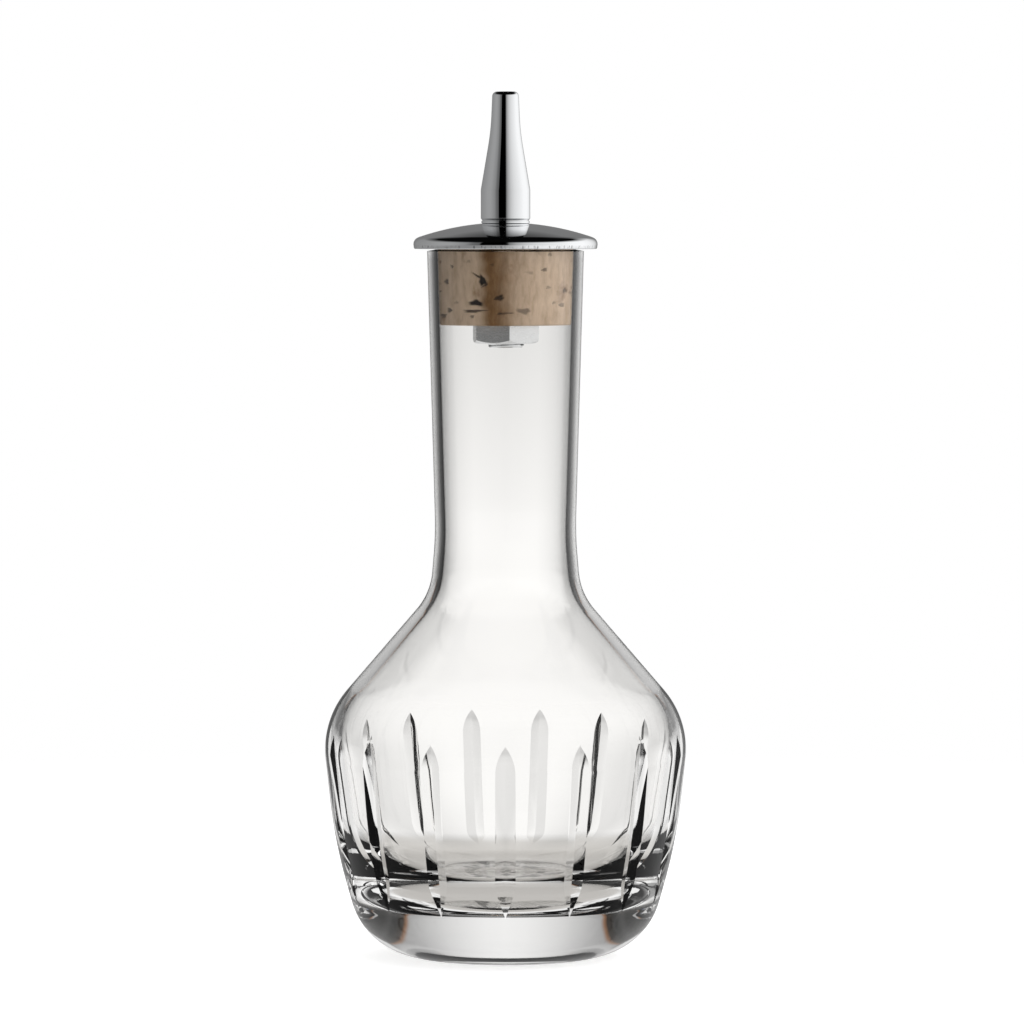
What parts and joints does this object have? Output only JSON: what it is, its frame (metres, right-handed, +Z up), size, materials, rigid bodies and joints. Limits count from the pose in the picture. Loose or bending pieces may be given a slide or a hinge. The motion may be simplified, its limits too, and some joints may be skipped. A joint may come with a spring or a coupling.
{
  "type": "bitters bottle",
  "caption": "Clear cut-glass bitters bottle, round body with upright grooves and a long neck, closed by a cork with a domed metal cap and a slender dasher spout.",
  "frame": {"origin": "centre of the flat the bottle stands on", "axes": "+Z is up along the bottle's own axis, -Y is the front of the picture, where one groove is centred, and +X is to the right of it"},
  "size_m": [0.0642, 0.0641, 0.1534],
  "materials": {
    "clear_glass": "clear, fire-polished, with polished cuts",
    "cork": "natural cork, dry",
    "polished_metal": "mirror plated",
    "turned_steel": "bright machined"
  },
  "bodies": {
    "bottle": {"glass_bottle": "clear_glass"},
    "cork": {"cork_stopper": "cork"},
    "dasher_top": {"cap_disc": "polished_metal", "dasher_spout": "polished_metal", "threaded_stem": "turned_steel", "lock_nut": "turned_steel"}
  },
  "joints": [
    {"name": "stopper_lift", "type": "slide", "parent": "bottle", "child": "cork", "axis": [0, 0, 1], "range_m": [0, 0.045]},
    {"name": "top_turn", "type": "hinge", "parent": "cork", "child": "dasher_top", "pos_m": [0, 0, 0.1256], "axis": [0, 0, 1], "continuous": true}
  ]
}
